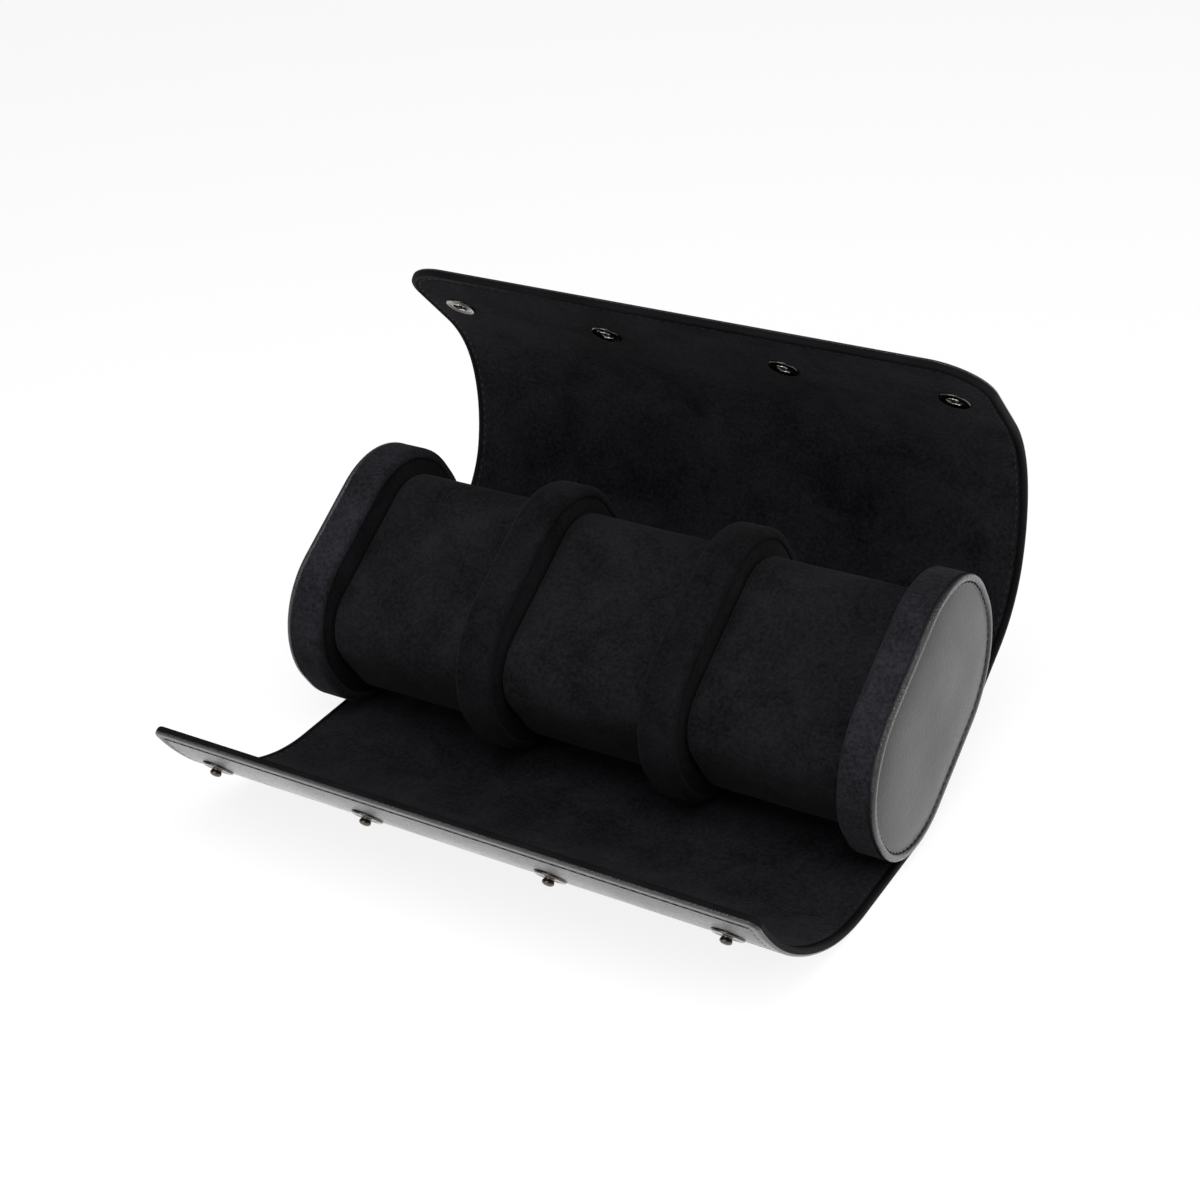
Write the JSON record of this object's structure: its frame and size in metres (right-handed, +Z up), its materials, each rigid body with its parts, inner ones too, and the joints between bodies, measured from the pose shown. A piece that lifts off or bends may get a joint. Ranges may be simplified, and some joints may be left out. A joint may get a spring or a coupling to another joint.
{
  "type": "watch travel case",
  "caption": "Open roll-up travel case: padded blocks on a suede-lined leather wrap part it into wells with removable cushions, and a back flap snaps over the front flap.",
  "frame": {"origin": "middle of the flat strip of the spine that the case rests on, half way along its width", "axes": "+X along the row of blocks, the case's longest side; +Y to the back, where the back flap rises; +Z up, away from the surface under the rest strip"},
  "size_m": [0.2222, 0.1979, 0.1512],
  "materials": {
    "wrap_leather": "black fine-grained leather, semi-matt",
    "welt_leather": "black leather drawn over a cord",
    "panel_leather": "black leather, fine grain, stitched along its edge",
    "suede_lining": "black microsuede, short nap",
    "block_suede": "black microsuede, short nap",
    "cushion_suede": "black microsuede, short nap",
    "stiffener_board": "grey stiffener sheet",
    "flap_foam": "thin foam sheet",
    "block_foam": "firm foam",
    "cushion_foam": "soft foam",
    "snap_metal": "bright nickel plate"
  },
  "bodies": {
    "case": {"spine_leather": "wrap_leather", "spine_board": "stiffener_board", "spine_lining": "suede_lining", "left_cap_rim": "block_suede", "left_cap_core": "block_foam", "left_cap_face": "block_suede", "left_cap_welt": "welt_leather", "left_cap_panel": "panel_leather", "right_cap_rim": "block_suede", "right_cap_core": "block_foam", "right_cap_face": "block_suede", "right_cap_welt": "welt_leather", "right_cap_panel": "panel_leather", "divider_1_rim": "block_suede", "divider_1_core": "block_foam", "divider_1_faces": "block_suede", "divider_2_rim": "block_suede", "divider_2_core": "block_foam", "divider_2_faces": "block_suede"},
    "back_flap_1": {"back_flap_1_leather": "wrap_leather", "back_flap_1_foam": "flap_foam", "back_flap_1_lining": "suede_lining"},
    "back_flap_2": {"back_flap_2_leather": "wrap_leather", "back_flap_2_foam": "flap_foam", "back_flap_2_lining": "suede_lining"},
    "back_flap_3": {"back_flap_3_leather": "wrap_leather", "back_flap_3_foam": "flap_foam", "back_flap_3_lining": "suede_lining"},
    "back_flap_4": {"back_flap_4_leather": "wrap_leather", "back_flap_4_foam": "flap_foam", "back_flap_4_lining": "suede_lining", "snap_sockets": "snap_metal", "snap_caps": "snap_metal"},
    "front_flap_1": {"front_flap_1_leather": "wrap_leather", "front_flap_1_board": "stiffener_board", "front_flap_1_lining": "suede_lining"},
    "front_flap_2": {"front_flap_2_leather": "wrap_leather", "front_flap_2_board": "stiffener_board", "front_flap_2_lining": "suede_lining"},
    "front_flap_3": {"front_flap_3_leather": "wrap_leather", "front_flap_3_board": "stiffener_board", "front_flap_3_lining": "suede_lining"},
    "front_flap_4": {"front_flap_4_leather": "wrap_leather", "front_flap_4_board": "stiffener_board", "front_flap_4_lining": "suede_lining", "snap_studs": "snap_metal", "snap_rivets": "snap_metal"},
    "cushion_1": {"cushion_1_band": "cushion_suede", "cushion_1_core": "cushion_foam", "cushion_1_ends": "cushion_suede"},
    "cushion_2": {"cushion_2_band": "cushion_suede", "cushion_2_core": "cushion_foam", "cushion_2_ends": "cushion_suede"},
    "cushion_3": {"cushion_3_band": "cushion_suede", "cushion_3_core": "cushion_foam", "cushion_3_ends": "cushion_suede"}
  },
  "joints": [
    {"name": "back_fold_1", "type": "hinge", "parent": "case", "child": "back_flap_1", "pos_m": [0, 0.05712, 0.03208], "axis": [1, 0, 0], "range_deg": [0, 43.58]},
    {"name": "back_fold_2", "type": "hinge", "parent": "back_flap_1", "child": "back_flap_2", "pos_m": [0, 0.07426, 0.04302], "axis": [1, 0, 0], "range_deg": [0, 10.61]},
    {"name": "back_fold_3", "type": "hinge", "parent": "back_flap_2", "child": "back_flap_3", "pos_m": [0, 0.08923, 0.07225], "axis": [1, 0, 0], "range_deg": [0, 5.98]},
    {"name": "back_fold_4", "type": "hinge", "parent": "back_flap_3", "child": "back_flap_4", "pos_m": [0, 0.08343, 0.10732], "axis": [1, 0, 0], "range_deg": [0, 19.1]},
    {"name": "front_fold_1", "type": "hinge", "parent": "case", "child": "front_flap_1", "pos_m": [0, -0.00881, 0.003], "axis": [-1, 0, 0], "range_deg": [0, 31.3]},
    {"name": "front_fold_2", "type": "hinge", "parent": "front_flap_1", "child": "front_flap_2", "pos_m": [0, -0.02431, 0.003], "axis": [-1, 0, 0], "range_deg": [0, 25.72]},
    {"name": "front_fold_3", "type": "hinge", "parent": "front_flap_2", "child": "front_flap_3", "pos_m": [0, -0.0516, 0.00572], "axis": [-1, 0, 0], "range_deg": [0, 17.72]},
    {"name": "front_fold_4", "type": "hinge", "parent": "front_flap_3", "child": "front_flap_4", "pos_m": [0, -0.07061, 0.01474], "axis": [-1, 0, 0], "range_deg": [0, 23.32]},
    {"name": "cushion_1_lift", "type": "slide", "parent": "case", "child": "cushion_1", "axis": [0, -0.5299, 0.848], "range_m": [0, 0.009]},
    {"name": "cushion_2_lift", "type": "slide", "parent": "case", "child": "cushion_2", "axis": [0, -0.5299, 0.848], "range_m": [0, 0.009]},
    {"name": "cushion_3_lift", "type": "slide", "parent": "case", "child": "cushion_3", "axis": [0, -0.5299, 0.848], "range_m": [0, 0.009]}
  ],
  "couplings": [
    {"joint": "back_fold_2", "follows": "back_fold_1", "ratio": 0.243},
    {"joint": "back_fold_3", "follows": "back_fold_1", "ratio": 0.13676},
    {"joint": "back_fold_4", "follows": "back_fold_1", "ratio": 0.43782},
    {"joint": "front_fold_2", "follows": "front_fold_1", "ratio": 0.82109},
    {"joint": "front_fold_3", "follows": "front_fold_1", "ratio": 0.56549},
    {"joint": "front_fold_4", "follows": "front_fold_1", "ratio": 0.74441}
  ]
}
